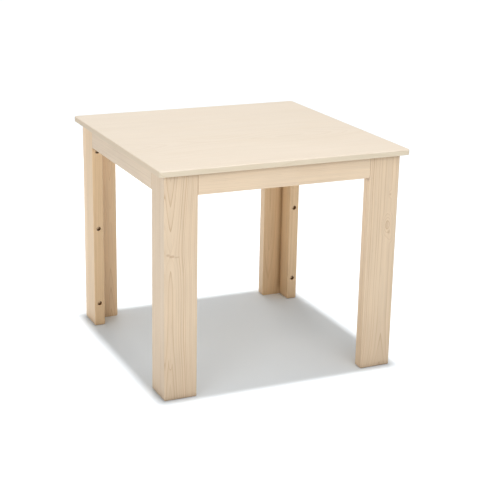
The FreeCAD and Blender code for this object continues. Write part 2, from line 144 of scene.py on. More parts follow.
class Graph:
    """Adds nodes to one tree and links them."""

    def __init__(self, tree: bpy.types.NodeTree) -> None:
        """Keep the tree that nodes are added to."""
        self.tree = tree

    def feed(self, socket: Socket, value: Value | bpy.types.ID) -> None:
        """Link an input to a field, or give it a fixed value.

        Args:
            socket: the input socket.
            value: a field of the same tree, or the value that the input keeps; a colour has three parts.
        """
        if isinstance(value, Field):
            self.tree.links.new(value.socket, socket)
        elif socket.type == "RGBA":
            socket.default_value = (*value, 1.0)
        else:
            socket.default_value = value

    def node(self, kind: str, inputs: dict | None = None, **settings: object) -> bpy.types.Node:
        """Add one node.

        Args:
            kind: the node's type.
            inputs: its inputs, by name or number, each a field or a fixed value.
            **settings: its properties, set before its inputs.

        Returns:
            The new node.
        """
        node = self.tree.nodes.new(kind)
        for name, setting in settings.items():
            setattr(node, name, setting)
        for key, value in (inputs or {}).items():
            self.feed(node.inputs[key], value)
        return node

    def value(self, kind: str, inputs: dict | None = None, output: int | str = 0,
              **settings: object) -> Field:
        """Add one node, and give one of its outputs as a field."""
        return Field(self, self.node(kind, inputs, **settings).outputs[output])

    def math(self, operation: str, *values: Value) -> Field:
        """One Math node over one or two values."""
        return self.value("ShaderNodeMath", dict(enumerate(values)), operation=operation)

    def vector(self, operation: str, *values: Value, output: str = "Vector") -> Field:
        """One Vector Math node, whose Value output gives a length or a dot product."""
        return self.value("ShaderNodeVectorMath", dict(enumerate(values)), output, operation=operation)

    def split(self, vector: Field) -> list[Field]:
        """The three parts of a vector."""
        return [Field(self, part) for part in self.node("ShaderNodeSeparateXYZ", {0: vector}).outputs]

    def join(self, x: Value, y: Value, z: Value) -> Field:
        """A vector made of three numbers."""
        return self.value("ShaderNodeCombineXYZ", {0: x, 1: y, 2: z})

    def step(self, value: Value, low: float, high: float, start: float = 0.0, end: float = 1.0) -> Field:
        """A smooth step.

        Args:
            value: what is stepped.
            low: where the step begins.
            high: where it ends.
            start: the result below low.
            end: the result above high.

        Returns:
            The stepped number.
        """
        inputs = {0: value, 1: low, 2: high, 3: start, 4: end}
        return self.value("ShaderNodeMapRange", inputs, interpolation_type="SMOOTHSTEP")

    def noise(self, vector: Value, detail: float = 2.0, roughness: float = 0.5, output: int = 0) -> Field:
        """A three-dimensional noise at scale one, so that its vector says its size."""
        inputs = {"Vector": vector, "Scale": 1.0, "Detail": detail, "Roughness": roughness}
        return self.value("ShaderNodeTexNoise", inputs, output, noise_dimensions="3D")

    def mix(self, share: Value, first: Value, second: Value, blend: str = "MIX") -> Field:
        """Blend a share of the second colour into the first."""
        inputs = {0: share, 6: first, 7: second}
        return self.value("ShaderNodeMix", inputs, 2, data_type="RGBA", blend_type=blend)

    def tint(self, colour: Field, by: Value) -> Field:
        """Multiply two colours."""
        return self.mix(1.0, colour, by, "MULTIPLY")

    def shade(self, shader: str, inputs: dict) -> None:
        """Feed the inputs of a shader that the tree already has."""
        for name, value in inputs.items():
            self.feed(self.tree.nodes[shader].inputs[name], value)


def new_material(name: str) -> tuple[bpy.types.Material, Graph]:
    """Make a material with a Principled shader.

    Args:
        name: the material's name.

    Returns:
        The material, and the graph that builds it.
    """
    material = bpy.data.materials.new(name)
    material.use_nodes = True
    return material, Graph(material.node_tree)


# ------------------------------------------------------------------------------------------------- finishes


@dataclass(frozen=True)
class Swirl:
    """A place where the rings bulge, as they do past a knot or a kink in the trunk.

    Places are on the show face: across from the board's middle line, and along from its start.
    """

    across: float
    along: float
    reach_across: float
    reach_along: float
    height: float


@dataclass(frozen=True)
class Knot:
    """A pin knot that shows on the face of a board."""

    across: float
    along: float
    reach_across: float
    reach_along: float
    darkness: float


@dataclass(frozen=True)
class Figure:
    """How one board was sawn from its log.

    pith_depth lists how deep the pith lies under the show face, as pairs of the share of the board's length
    and the depth. Where the depth peaks, the rings close to pointed arches on both sides.
    """

    seed: float
    pith_across: float = 0.0
    pith_depth: Outline = ((0.0, 0.034), (1.0, 0.046))
    ring: float = 0.0035
    phase: float = 0.0
    waver: float = 0.0010
    contrast: float = 0.5
    shade: float = 1.0
    # painted shade: how much darker the board is painted towards its low end
    foot: float = 0.0
    # painted light: how much the painted tint of the board's sides and back is strengthened
    flank: float = 1.0
    warmth: float = 0.0
    swirls: tuple[Swirl, ...] = ()
    knots: tuple[Knot, ...] = ()


@dataclass(frozen=True)
class Lie:
    """How a board lies: the ways its width, its depth under the show face and its length run."""

    across: Vector
    inward: Vector
    along: Vector


@dataclass(frozen=True)
class Grain:
    """A noise drawn out along the board: how fine it is across and along, and how rough."""

    across: float
    along: float
    detail: float = 2.0
    roughness: float = 0.5

    def over(self, graph: Graph, places: Places, seed: float, output: int = 0) -> Field:
        """The noise over a board.

        Args:
            graph: the material's graph.
            places: the places across, inward and along the board.
            seed: how far the noise is moved along.
            output: nought for one number, one for a colour of three.

        Returns:
            The noise.
        """
        across, inward, along = places
        here = graph.join(across * self.across, inward * self.across, along * self.along + seed)
        return graph.noise(here, self.detail, self.roughness, output)


DRIFT = Grain(20.0, 5.0, 2.0, 0.4)
CLOUDS = Grain(30.0, 6.5, 3.0, 0.55)
STREAKS = Grain(190.0, 6.0)
FLECKS = Grain(420.0, 34.0, 1.0)
HAIRS = Grain(1150.0, 16.0, 3.0, 0.6)


@dataclass(frozen=True)
class WoodFinish:
    """A timber under its lacquer, with colours for its early and late wood."""

    name: str
    early: Colour
    late: Colour
    flush: Colour
    end: Colour
    knot: Colour = (0.33, 0.17, 0.085)
    fibre: float = 0.075
    fleck: float = 0.10
    cloud: float = 0.20
    streak: float = 0.18
    # painted light: the tint of the sides and back, more than 2.8 mm in from the show face, standing in for
    # how light falls on them
    flank: Colour = (1.0, 1.0, 1.0)
    # painted shade: the tint multiplied in at the legs' feet and in the inner corners
    grime: Colour = (0.36, 0.26, 0.16)
    # strength and reach of the painted shade in the inner corners
    corner: float = 1.45
    corner_reach: float = 0.011
    # lighter along the arrises: partly wear, partly a painted highlight
    worn_arris: float = 0.035
    arris_reach: float = 0.0032
    # how far up the board the painted shade at its foot reaches
    foot_reach: float = 0.20
    roughness: float = 0.44
    coat: float = 0.12
    coat_roughness: float = 0.32
    relief: float = 0.22

    DEPTH_SPAN = 0.2
    ARCH_POWER = 1.5

    def pith(self, graph: Graph, figure: Figure, share: Field) -> Field:
        """How deep the pith lies at each place along the board.

        Args:
            graph: the material's graph.
            figure: how the board was sawn.
            share: the place along the board, from nought to one.

        Returns:
            The depth under the show face, in metres.
        """
        curve = graph.node("ShaderNodeFloatCurve", {"Factor": 1.0, "Value": share})
        points = curve.mapping.curves[0].points
        for point, (place, depth) in zip(points, (figure.pith_depth[0], figure.pith_depth[-1])):
            point.location = (place, depth / self.DEPTH_SPAN)
        for place, depth in figure.pith_depth[1:-1]:
            points.new(place, depth / self.DEPTH_SPAN)
        curve.mapping.update()
        return Field(graph, curve.outputs[0]) * self.DEPTH_SPAN

    @staticmethod
    def bulge(graph: Graph, spot: Swirl | Knot, places: Places) -> Field:
        """A round hill over a spot of the show face, one high and nought outside its reach."""
        x, y = (places[0] - spot.across) / spot.reach_across, (places[2] - spot.along) / spot.reach_along
        return graph.step(graph.vector("LENGTH", graph.join(x, y, 0.0), output="Value"), 0.0, 1.0, 1.0, 0.0)

    def rings(self, graph: Graph, figure: Figure, places: Places, length: float) -> Field:
        """The late wood lines of the log's rings.

        Args:
            graph: the material's graph.
            figure: how the board was sawn.
            places: the places across, inward and along the board.
            length: the board's length.

        Returns:
            The depth of the late wood's colour, from nought to one.
        """
        across, inward, along = places
        drift = [part - 0.5 for part in graph.split(DRIFT.over(graph, places, figure.seed, 1))]
        swing = 4.0 * figure.waver
        u = drift[0] * swing + across - figure.pith_across
        v = drift[1] * swing + self.pith(graph, figure, along / length) - inward
        radius = (abs(u) ** self.ARCH_POWER + abs(v) ** self.ARCH_POWER) ** (1.0 / self.ARCH_POWER)
        for swirl in figure.swirls:
            radius = self.bulge(graph, swirl, places) * swirl.height + radius
        radius = drift[2] * (0.5 * swing) + radius
        count = radius * (1.0 / figure.ring) + figure.phase
        uneven = graph.value("ShaderNodeTexNoise", {"W": count + figure.seed, "Scale": 0.7, "Detail": 1.0},
                             noise_dimensions="1D")
        count = uneven * 0.8 + count
        share = graph.math("FRACT", count)
        own = graph.value("ShaderNodeTexWhiteNoise", {"W": graph.math("FLOOR", count) + figure.seed}, "Value",
                          noise_dimensions="1D")
        shape = graph.step(share, 0.68, 0.93) * 0.75 + graph.step(share, 0.0, 0.85) * 0.25
        return shape * graph.step(share, 0.95, 1.0, 1.0, 0.0) * (own * 0.75 + 0.25)

    def edges(self, graph: Graph, places: Places, size: Vector) -> tuple[Field, Field]:
        """Where the board's arrises and its sawn ends are.

        Args:
            graph: the material's graph.
            places: the places across, inward and along the board.
            size: the board's width, thickness and length.

        Returns:
            One at an arris, fading over a few millimetres, and one on the end grain.
        """
        across, inward, along = places
        side = size.x / 2.0 - abs(across)
        face = graph.math("MINIMUM", inward, size.y - inward)
        end = graph.math("MINIMUM", along, size.z - along)
        low, high = graph.math("MINIMUM", side, face), graph.math("MAXIMUM", side, face)
        nearest = graph.math("MAXIMUM", low, graph.math("MINIMUM", high, end))
        return graph.step(nearest, 0.0, self.arris_reach, 1.0, 0.0), graph.step(end, 0.0002, 0.0007, 1.0, 0.0)

    def grubby(self, graph: Graph, here: Field) -> Field:
        """Painted shade in the inner corners, found by an occlusion node, less of it by the floor.

        Args:
            graph: the material's graph.
            here: the place in the table's frame.

        Returns:
            The darkness, from nought to one.
        """
        air = graph.value("ShaderNodeAmbientOcclusion", {"Distance": self.corner_reach}, "AO", samples=8)
        strength = graph.step(graph.split(here)[2], 0.0, 0.03, 0.3 * self.corner, self.corner)
        return graph.math("MINIMUM", (1.0 - air) * strength, 1.0)

    def material(self, name: str, lie: Lie, figure: Figure, box: tuple[Vector, Vector]) -> bpy.types.Material:
        """The finish of one board.

        Args:
            name: the material's name.
            lie: how the board lies.
            figure: how the board was sawn.
            box: the board's lowest and highest corners.

        Returns:
            The material.
        """
        material, graph = new_material(name)
        low, high = box
        ways = (lie.across, lie.inward, lie.along)
        size = Vector([abs(way.dot(high - low)) for way in ways])
        corner = (low + high) / 2.0 - lie.inward * size.y / 2.0 - lie.along * size.z / 2.0
        here = graph.value("ShaderNodeTexCoord", output="Object")
        offset = graph.vector("SUBTRACT", here, tuple(corner))
        places = tuple(graph.vector("DOT_PRODUCT", offset, tuple(way), output="Value") for way in ways)

        late = self.rings(graph, figure, places, size.z)
        edge, sawn = self.edges(graph, places, size)
        tone, hue, fade = graph.split(CLOUDS.over(graph, places, figure.seed * 1.7, 1))
        streaks = STREAKS.over(graph, places, figure.seed * 2.3)
        flecks = FLECKS.over(graph, places, figure.seed * 0.6)
        hairs = HAIRS.over(graph, places, figure.seed)

        line = late * (graph.step(fade, 0.25, 0.7, 0.55, 1.0) * figure.contrast)
        colour = graph.mix(line, self.early, self.late)
        colour = graph.mix(graph.step(hue, 0.42, 0.75, 0.0, 0.42), colour, self.flush)
        for knot in figure.knots:
            hill = self.bulge(graph, knot, places) * (streaks * 0.9 + flecks * 0.5)
            colour = graph.mix(graph.step(hill, 0.04, 0.55) * knot.darkness, colour, self.knot)
        pale = (hairs - 0.5) * (2.0 * self.fibre) + 1.0
        pale = pale + (tone - 0.5) * self.cloud + (streaks - 0.5) * self.streak
        # lighter along the arrises: partly wear, partly a painted highlight
        pale = pale - graph.step(flecks, 0.66, 0.82, 0.0, self.fleck) + edge * self.worn_arris
        pale = pale * figure.shade
        colour = graph.tint(colour, graph.join(pale, pale, pale))
        colour = graph.tint(colour, (1.0 + figure.warmth, 1.0, 1.0 - 1.6 * figure.warmth))
        # painted shade: darker towards the board's low end, standing in for the light falling off down the
        # legs
        foot_shade_mask = graph.step(places[2], 0.0, self.foot_reach, figure.foot, 0.0)
        colour = graph.mix(foot_shade_mask, colour, self.grime, "MULTIPLY")
        # painted light: the sides and back are tinted to stand in for how light falls on them
        flank = graph.tint(colour, tuple(part * figure.flank for part in self.flank))
        colour = graph.mix(graph.step(places[1], 0.0010, 0.0028), colour, flank)
        # painted shade: darker where the occlusion node finds surfaces close by, in corners and under the top
        colour = graph.mix(self.grubby(graph, here), colour, self.grime, "MULTIPLY")
        colour = graph.mix(sawn * 0.75, colour, self.end)

        bump = graph.value("ShaderNodeBump", {"Height": late * 0.6 + hairs * 0.7, "Distance": 0.00012,
                                              "Strength": self.relief})
        graph.shade("Principled BSDF", {
            "Base Color": colour, "Roughness": hairs * 0.10 + (self.roughness - 0.05) + sawn * 0.18,
            "Normal": bump, "Coat Weight": self.coat, "Coat Roughness": self.coat_roughness})
        return material


@dataclass(frozen=True)
class MetalFinish:
    """A plated steel, mottled and rubbed bright here and there."""

    name: str
    plate: Colour
    stain: Colour
    roughness: float
    mottle: float = 300.0
    speck: float = 2700.0

    def material(self) -> bpy.types.Material:
        """Make the finish.

        Returns:
            One material, which every piece of this metal shares.
        """
        material, graph = new_material(self.name)
        here = graph.value("ShaderNodeTexCoord", output="Object")
        cloud = graph.noise(graph.vector("MULTIPLY", here, (self.mottle,) * 3), 3.0, 0.6)
        speck = graph.noise(graph.vector("MULTIPLY", here, (self.speck,) * 3), 2.0, 0.6)
        colour = graph.mix(graph.step(cloud, 0.38, 0.68), self.plate, self.stain)
        shade = speck * 0.3 + 0.85
        bump = graph.value("ShaderNodeBump", {"Height": speck, "Distance": 0.00004, "Strength": 0.25})
        graph.shade("Principled BSDF", {
            "Base Color": graph.tint(colour, graph.join(shade, shade, shade)),
            "Roughness": cloud * 0.22 + (self.roughness - 0.08), "Normal": bump, "Metallic": 1.0})
        return material


PINE = WoodFinish("pine", early=(0.680, 0.525, 0.365), late=(0.46, 0.295, 0.165), flush=(0.645, 0.475, 0.315),
                  end=(0.62, 0.45, 0.29))
# painted light: the top's edges and underside are tinted lighter than its face, standing in for how light
# falls on them
PINE_TOP = WoodFinish("pine_top", early=(0.606, 0.525, 0.428), late=(0.464, 0.358, 0.246),
                      flush=(0.575, 0.483, 0.375), end=(0.64, 0.50, 0.35), fibre=0.05, fleck=0.05, cloud=0.08,
                      streak=0.06, flank=(1.08, 1.06, 0.97), worn_arris=0.015)
BEECH = WoodFinish("beech", early=(0.60, 0.40, 0.25), late=(0.46, 0.27, 0.15), flush=(0.55, 0.34, 0.21),
                   end=(0.50, 0.33, 0.20), fibre=0.09, fleck=0.22, roughness=0.62, coat=0.0)
YELLOW_ZINC = MetalFinish("yellow_zinc", plate=(0.86, 0.64, 0.42), stain=(0.62, 0.47, 0.29), roughness=0.34)
BRIGHT_ZINC = MetalFinish("bright_zinc", plate=(0.60, 0.61, 0.62), stain=(0.46, 0.47, 0.49), roughness=0.30)


class Slot(Enum):
    """The record's material slots."""

    TOP = "top_pine"
    FRAME = "frame_pine"
    BLOCK = "block_beech"
    DOWEL = "dowel_beech"
    SCREW = "screw_zinc"
    BOLT = "bolt_steel"


# ---------------------------------------------------------------------------------------------- the fasteners


@dataclass(frozen=True)
class Spot:
    """Where a fastener sits: the middle of its seat, and the way its shank runs."""

    at: Vector
    towards: Vector


class Growth:
    """A geometry tree that grows one kind of fastener on the points of a mesh.

    The fastener stands on its seat at the origin with its shank along +Z, and the tree puts a copy on each
    point, turned to the point's facing and spun about its own axis by a seeded random angle.
    """

    FACING = "facing"

    def __init__(self, name: str) -> None:
        """Make the empty tree, with the inputs that every kind has."""
        self.tree = bpy.data.node_groups.new(name, "GeometryNodeTree")
        self.graph = Graph(self.tree)
        self.tree.interface.new_socket("Geometry", in_out="OUTPUT", socket_type="NodeSocketGeometry")
        self.tree.interface.new_socket("Points", in_out="INPUT", socket_type="NodeSocketGeometry")
        self.entry = self.graph.node("NodeGroupInput")
        self.seed = self.input("Seed", "NodeSocketInt")
        self.dress = self.input("Finish", "NodeSocketMaterial")

    def input(self, name: str, kind: str = "NodeSocketFloat") -> Field:
        """Add one named input to the tree, and give it as a field."""
        self.tree.interface.new_socket(name, in_out="INPUT", socket_type=kind)
        return Field(self.graph, self.entry.outputs[name])

    def numbers(self, *names: str) -> list[Field]:
        """Add several named numbers to the tree."""
        return [self.input(name) for name in names]

    def position(self) -> list[Field]:
        """The parts of a point's position."""
        return self.graph.split(self.graph.value("GeometryNodeInputPosition"))

    def ridge(self, x: Field, y: Field, z: Field, pitch: Field) -> Field:
        """The ridge of a right-handed thread about +Z.

        Args:
            x: the X of a point on its wall.
            y: the Y of the point.
            z: the height of the point.
            pitch: the thread's pitch.

        Returns:
            One on the crest, nought in the root.
        """
        turn = self.graph.math("ARCTAN2", y, x) / FULL_TURN
        phase = self.graph.math("FRACT", z / pitch - turn)
        return abs(phase * 2.0 - 1.0) ** 1.6

    def moved(self, shape: Field, x: Field, y: Field, z: Field) -> Field:
        """The shape, with its points moved."""
        place = self.graph.join(x, y, z)
        return self.graph.value("GeometryNodeSetPosition", {"Geometry": shape, "Position": place})

    def finish(self, shape: Field) -> "Growth":
        """Copy the fastener's shape to the points and close the tree.

        Args:
            shape: the fastener's geometry.

        Returns:
            This growth, complete.
        """
        graph = self.graph
        facing = graph.value("GeometryNodeInputNamedAttribute", {"Name": self.FACING},
                             data_type="FLOAT_VECTOR")
        turned = graph.value("FunctionNodeEulerToRotation", {0: facing})
        spin = graph.node("FunctionNodeRandomValue", data_type="FLOAT")
        for socket in (socket for socket in spin.inputs if socket.enabled and socket.name != "ID"):
            graph.feed(socket, {"Min": 0.0, "Max": FULL_TURN, "Seed": self.seed}[socket.name])
        angle = Field(graph, next(socket for socket in spin.outputs if socket.enabled))
        twist = graph.value("FunctionNodeAxisAngleToRotation", {"Axis": tuple(UP), "Angle": angle})
        both = graph.value("FunctionNodeRotateRotation", {0: turned, 1: twist}, rotation_space="LOCAL")
        placed = graph.value("GeometryNodeInstanceOnPoints", {
            "Points": Field(graph, self.entry.outputs["Points"]), "Instance": shape, "Rotation": both})
        real = graph.value("GeometryNodeRealizeInstances", {0: placed})
        graph.node("NodeGroupOutput", {0: graph.value("GeometryNodeSetMaterial", {
            "Geometry": real, "Material": self.dress})})
        return self

    def grow(self, name: str, node: str, spots: list[Spot], slot: Slot, sizes: dict) -> None:
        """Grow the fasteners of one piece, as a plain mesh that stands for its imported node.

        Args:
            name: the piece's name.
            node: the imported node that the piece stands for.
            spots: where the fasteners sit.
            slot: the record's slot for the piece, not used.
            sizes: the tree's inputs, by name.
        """
        points = bpy.data.meshes.new(name + "_points")
        points.from_pydata([spot.at for spot in spots], [], [])
        facing = points.attributes.new(self.FACING, "FLOAT_VECTOR", "POINT")
        for item, spot in zip(facing.data, spots):
            item.vector = spot.towards.to_track_quat("Z", "Y").to_euler()
        carrier = add_object(name + "_points", points)
        modifier = carrier.modifiers.new("grow", "NODES")
        modifier.node_group = self.tree
        for item in self.tree.interface.items_tree:
            if item.in_out == "INPUT" and item.name in sizes:
                modifier[item.identifier] = sizes[item.name]
        graph = bpy.context.evaluated_depsgraph_get()
        mesh = bpy.data.meshes.new_from_object(carrier.evaluated_get(graph), depsgraph=graph)
        mesh.name = name
        mesh.materials.pop(index=0)
        bpy.data.objects.remove(carrier)
        piece = add_object(name, mesh)
        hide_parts(node)
        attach(piece, BODY)
        LOG.info("%s: %d grown", name, len(spots))


def threaded_growth() -> Growth:
    """The tree for screws and bolts: a head that is handed in, and a shank with a rolled thread.

    Returns:
        The growth.
    """
    growth = Growth("screws_and_bolts")
    graph = growth.graph
    head = growth.input("Head", "NodeSocketObject")
    length, radius, start, depth, pitch, tip = growth.numbers(
        "Shank Length", "Shank Radius", "Thread Start", "Thread Depth", "Thread Pitch", "Tip Length")
    rings = growth.input("Rings", "NodeSocketInt")
    rod = graph.value("GeometryNodeMeshCylinder", {"Vertices": 16, "Side Segments": rings, "Radius": radius,
                                                   "Depth": length}, fill_type="NGON")
    x, y, z = growth.position()
    along = length * 0.5 + z
    begun = graph.value("ShaderNodeMapRange", {0: along, 1: start, 2: start + pitch})
    sunk = (1.0 - growth.ridge(x, y, along, pitch)) * begun * (depth / radius)
    left = graph.math("MAXIMUM", (length - along) / tip, 0.004)
    scale = (1.0 - sunk) * graph.math("MINIMUM", left, 1.0) ** 0.55
    whole = graph.node("GeometryNodeJoinGeometry", {0: growth.moved(rod, x * scale, y * scale, along)})
    graph.feed(whole.inputs[0], graph.value("GeometryNodeObjectInfo", {"Object": head}, "Geometry"))
    joined = Field(graph, whole.outputs[0])
    return growth.finish(graph.value("GeometryNodeSetShadeSmooth", {"Geometry": joined}))


def ring_growth() -> Growth:
    """The tree for washers and threaded inserts: a rounded section swept round an axis.

    Returns:
        The growth.
    """
    growth = Growth("rings")
    graph = growth.graph
    outer, inner, height, ease, depth, pitch = growth.numbers(
        "Outer Radius", "Inner Radius", "Height", "Edge Round", "Thread Depth", "Thread Pitch")
    cuts = growth.input("Wall Cuts", "NodeSocketInt")
    middle = (outer + inner) * 0.5
    sides = {"Width": outer - inner, "Height": height}
    section = graph.value("GeometryNodeCurvePrimitiveQuadrilateral", sides)
    rounding = {"Curve": section, "Radius": ease, "Count": 2}
    eased = graph.value("GeometryNodeFilletCurve", rounding, mode="POLY")
    divided = graph.value("GeometryNodeSubdivideCurve", {"Curve": eased, "Cuts": cuts})
    path = graph.value("GeometryNodeCurvePrimitiveCircle", {"Resolution": 40, "Radius": middle})
    swept = graph.value("GeometryNodeCurveToMesh", {"Curve": path, "Profile Curve": divided})
    x, y, z = growth.position()
    reach = graph.vector("LENGTH", graph.join(x, y, 0.0), output="Value")
    hollow = (1.0 - growth.ridge(x, y, z, pitch)) * graph.math("GREATER_THAN", reach, middle)
    scale = 1.0 - hollow * depth / reach
    shaped = growth.moved(swept, x * scale, y * scale, height * 0.5 + z)
    flat = {"Geometry": shaped, "Shade Smooth": False}
    return growth.finish(graph.value("GeometryNodeSetShadeSmooth", flat))


def dowel_growth() -> Growth:
    """The tree for dowels: a fluted rod with chamfered ends.

    Returns:
        The growth.
    """
    growth = Growth("dowels")
    graph = growth.graph
    radius, length, chamfer, flute = growth.numbers("Radius", "Length", "Chamfer", "Flute Depth")
    flutes = growth.input("Flutes", "NodeSocketInt")
    steps = 3
    rod = graph.value("GeometryNodeMeshCylinder", {"Vertices": flutes * 4.0, "Side Segments": steps,
                                                   "Radius": radius, "Depth": length}, fill_type="NGON")
    x, y, z = growth.position()
    share = z / length + 0.5
    near_end = graph.math("MINIMUM", share, 1.0 - share)
    inset = near_end * float(steps) * chamfer
    along = inset + graph.math("GREATER_THAN", share, 0.5) * (length - inset * 2.0)
    wave = graph.math("COSINE", graph.math("ARCTAN2", y, x) * flutes) * 0.5 + 0.5
    is_end = graph.math("LESS_THAN", near_end, 0.5 / steps)
    scale = 1.0 - graph.math("MAXIMUM", wave * flute, is_end * chamfer) / radius
    return growth.finish(growth.moved(rod, x * scale, y * scale, along))


def polygon(radius: float, sides: int) -> Outline:
    """A regular polygon about the origin."""
    turns = (FULL_TURN * i / sides for i in range(sides))
    return tuple((radius * math.cos(turn), radius * math.sin(turn)) for turn in turns)


def cross(length: float, width: float) -> Outline:
    """A cross with square ends about the origin."""
    a, b = length / 2.0, width / 2.0
    return ((b, b), (b, a), (-b, a), (-b, b), (-a, b), (-a, -b),
            (-b, -b), (-b, -a), (b, -a), (b, -b), (a, -b), (a, b))


def solid_of(name: str, shape: bmesh.types.BMesh) -> bpy.types.Object:
    """Make an object from a closed shape, with its faces outward.

    Args:
        name: the object's name.
        shape: the shape, which is used up.

    Returns:
        The object.
    """
    bmesh.ops.recalc_face_normals(shape, faces=shape.faces)
    mesh = bpy.data.meshes.new(name)
    shape.to_mesh(mesh)
    shape.free()
    return add_object(name, mesh)


def turned(name: str, outline: list[tuple[float, float]], steps: int = 40) -> bpy.types.Object:
    """A solid turned about Z.

    Args:
        name: the object's name.
        outline: pairs of radius and height, from one end of the axis to the other.
        steps: how many steps go round.

    Returns:
        The closed solid.
    """
    shape = bmesh.new()
    previous = None
    for radius, height in outline:
        if radius == 0.0:
            level = [shape.verts.new((0.0, 0.0, height))] * steps
        else:
            level = [shape.verts.new((x, y, height)) for x, y in polygon(radius, steps)]
        for i in range(steps if previous else 0):
            corners = [previous[i], previous[(i + 1) % steps], level[(i + 1) % steps], level[i]]
            shape.faces.new(list(dict.fromkeys(corners)))
        previous = level
    return solid_of(name, shape)


def prism(name: str, outline: Outline, low: float, high: float, taper: float) -> bpy.types.Object:
    """A closed prism along Z that narrows towards its high end.

    Args:
        name: the object's name.
        outline: its corners at the low end, counter-clockwise.
        low: the height of its low end.
        high: the height of its high end.
        taper: how much of its outline is left at the high end.

    Returns:
        The prism.
    """
    shape = bmesh.new()
    base = [shape.verts.new((x, y, low)) for x, y in outline]
    lid = [shape.verts.new((x * taper, y * taper, high)) for x, y in outline]
    shape.faces.new(base[::-1])
    shape.faces.new(lid)
    for i in range(len(outline)):
        j = (i + 1) % len(outline)
        shape.faces.new([base[i], base[j], lid[j], lid[i]])
    return solid_of(name, shape)


def cut_away(solid: bpy.types.Object, tool: bpy.types.Object) -> bpy.types.Object:
    """Cut one solid with another, and remove both.

    Args:
        solid: what is cut.
        tool: what cuts.

    Returns:
        What is left, as a new object.
    """
    cut = solid.modifiers.new("cut", "BOOLEAN")
    cut.object, cut.operation, cut.solver = tool, "DIFFERENCE", "EXACT"
    graph = bpy.context.evaluated_depsgraph_get()
    left = add_object(solid.name + "_cut",
                      bpy.data.meshes.new_from_object(solid.evaluated_get(graph), depsgraph=graph))
    bpy.data.objects.remove(tool)
    bpy.data.objects.remove(solid)
    return left


@dataclass(frozen=True)
class Threaded:
    """A screw or bolt with a domed head and a recess for its driver.

    The defaults are those of a pan-head wood screw. The rim and crown are shares of the head's height and
    radius, the thread's length a share of the shank's, and its depth a share of the shank's radius.
    """

    length: float
    radius: float
    head_radius: float
    head_height: float
    pitch: float
    recess: Outline
    recess_depth: float
    recess_taper: float = 0.45
    neck: float = 1.15
    seat: float = 0.97
    rim: float = 0.35
    crown: float = 0.30
    dome_steps: int = 6
    thread_share: float = 0.68
    thread_depth: float = 0.34
    tip: float = 0.007
    steps_per_turn: float = 6.0
    slot: Slot = Slot.SCREW
    prefix: str = "steel_"

    def head(self) -> bpy.types.Object:
        """Make the head, with its underside on the seat and its recess facing away from the shank.

        Returns:
            The head, as a closed solid.
        """
        rise, rim = self.head_height, self.rim * self.head_height
        outline = [(0.0, 0.0004), (self.radius, 0.0004), (self.radius * self.neck, 0.0),
                   (self.head_radius * self.seat, 0.0), (self.head_radius, -0.0002), (self.head_radius, -rim)]
        for i in range(1, self.dome_steps + 1):
            angle = math.pi / 2.0 * i / self.dome_steps
            outline.append((self.head_radius * (self.crown + (1.0 - self.crown) * math.cos(angle)),
                            -rim - (rise - rim) * math.sin(angle)))
        outline.append((0.0, -rise))
        recess = prism("recess", self.recess, -rise - 0.001, -rise + self.recess_depth, self.recess_taper)
        return cut_away(turned("head", outline), recess)

    def sizes(self) -> dict:
        """The inputs that make its tree grow it, by name."""
        return {"Shank Length": self.length, "Shank Radius": self.radius,
                "Thread Start": self.length * (1.0 - self.thread_share),
                "Thread Depth": self.radius * self.thread_depth, "Thread Pitch": self.pitch,
                "Tip Length": self.tip, "Rings": round(self.steps_per_turn * self.length / self.pitch)}


@dataclass(frozen=True)
class Ring:
    """A washer, or an insert with a coarse thread outside."""

    outer: float
    inner: float
    height: float
    ease: float
    thread_depth: float = 0.0
    pitch: float = 0.001
    cuts: int = 0
    slot: Slot = Slot.BOLT
    prefix: str = "steel_"

    def sizes(self) -> dict:
        """The inputs that make its tree grow it, by name."""
        return {"Outer Radius": self.outer, "Inner Radius": self.inner, "Height": self.height,
                "Edge Round": self.ease, "Thread Depth": self.thread_depth, "Thread Pitch": self.pitch,
                "Wall Cuts": self.cuts}


@dataclass(frozen=True)
class Dowel:
    """A fluted dowel with chamfered ends."""

    radius: float
    length: float
    chamfer: float
    flute_depth: float
    flutes: int
    slot: Slot = Slot.DOWEL
    prefix: str = "fluted_"

    def sizes(self) -> dict:
        """The inputs that make its tree grow it, by name."""
        return {"Radius": self.radius, "Length": self.length, "Chamfer": self.chamfer,
                "Flute Depth": self.flute_depth, "Flutes": self.flutes}


LEG_SCREW = Threaded(0.050, 0.00225, 0.0045, 0.003, 0.0022, cross(0.0046, 0.0012), 0.0018)
TOP_SCREW = Threaded(0.040, 0.002, 0.004, 0.0026, 0.002, cross(0.0042, 0.0011), 0.0016)
BOLT = Threaded(0.060, 0.003, 0.00525, 0.0033, 0.001, polygon(0.0023, 6), 0.0021, recess_taper=0.99, neck=1.1,
                seat=0.96, rim=0.0004 / 0.0033, crown=0.36, dome_steps=8, thread_share=0.026 / 0.060,
                thread_depth=0.61 * 0.001 / 0.003, tip=0.0006, steps_per_turn=5.0, slot=Slot.BOLT)
WASHER = Ring(0.006, 0.0032, 0.0016, 0.0003)
INSERT = Ring(0.0045, 0.0031, 0.013, 0.0004, thread_depth=0.0009, pitch=0.0026, cuts=11)
DOWEL = Dowel(0.004, 0.035, 0.001, 0.00035, 16)


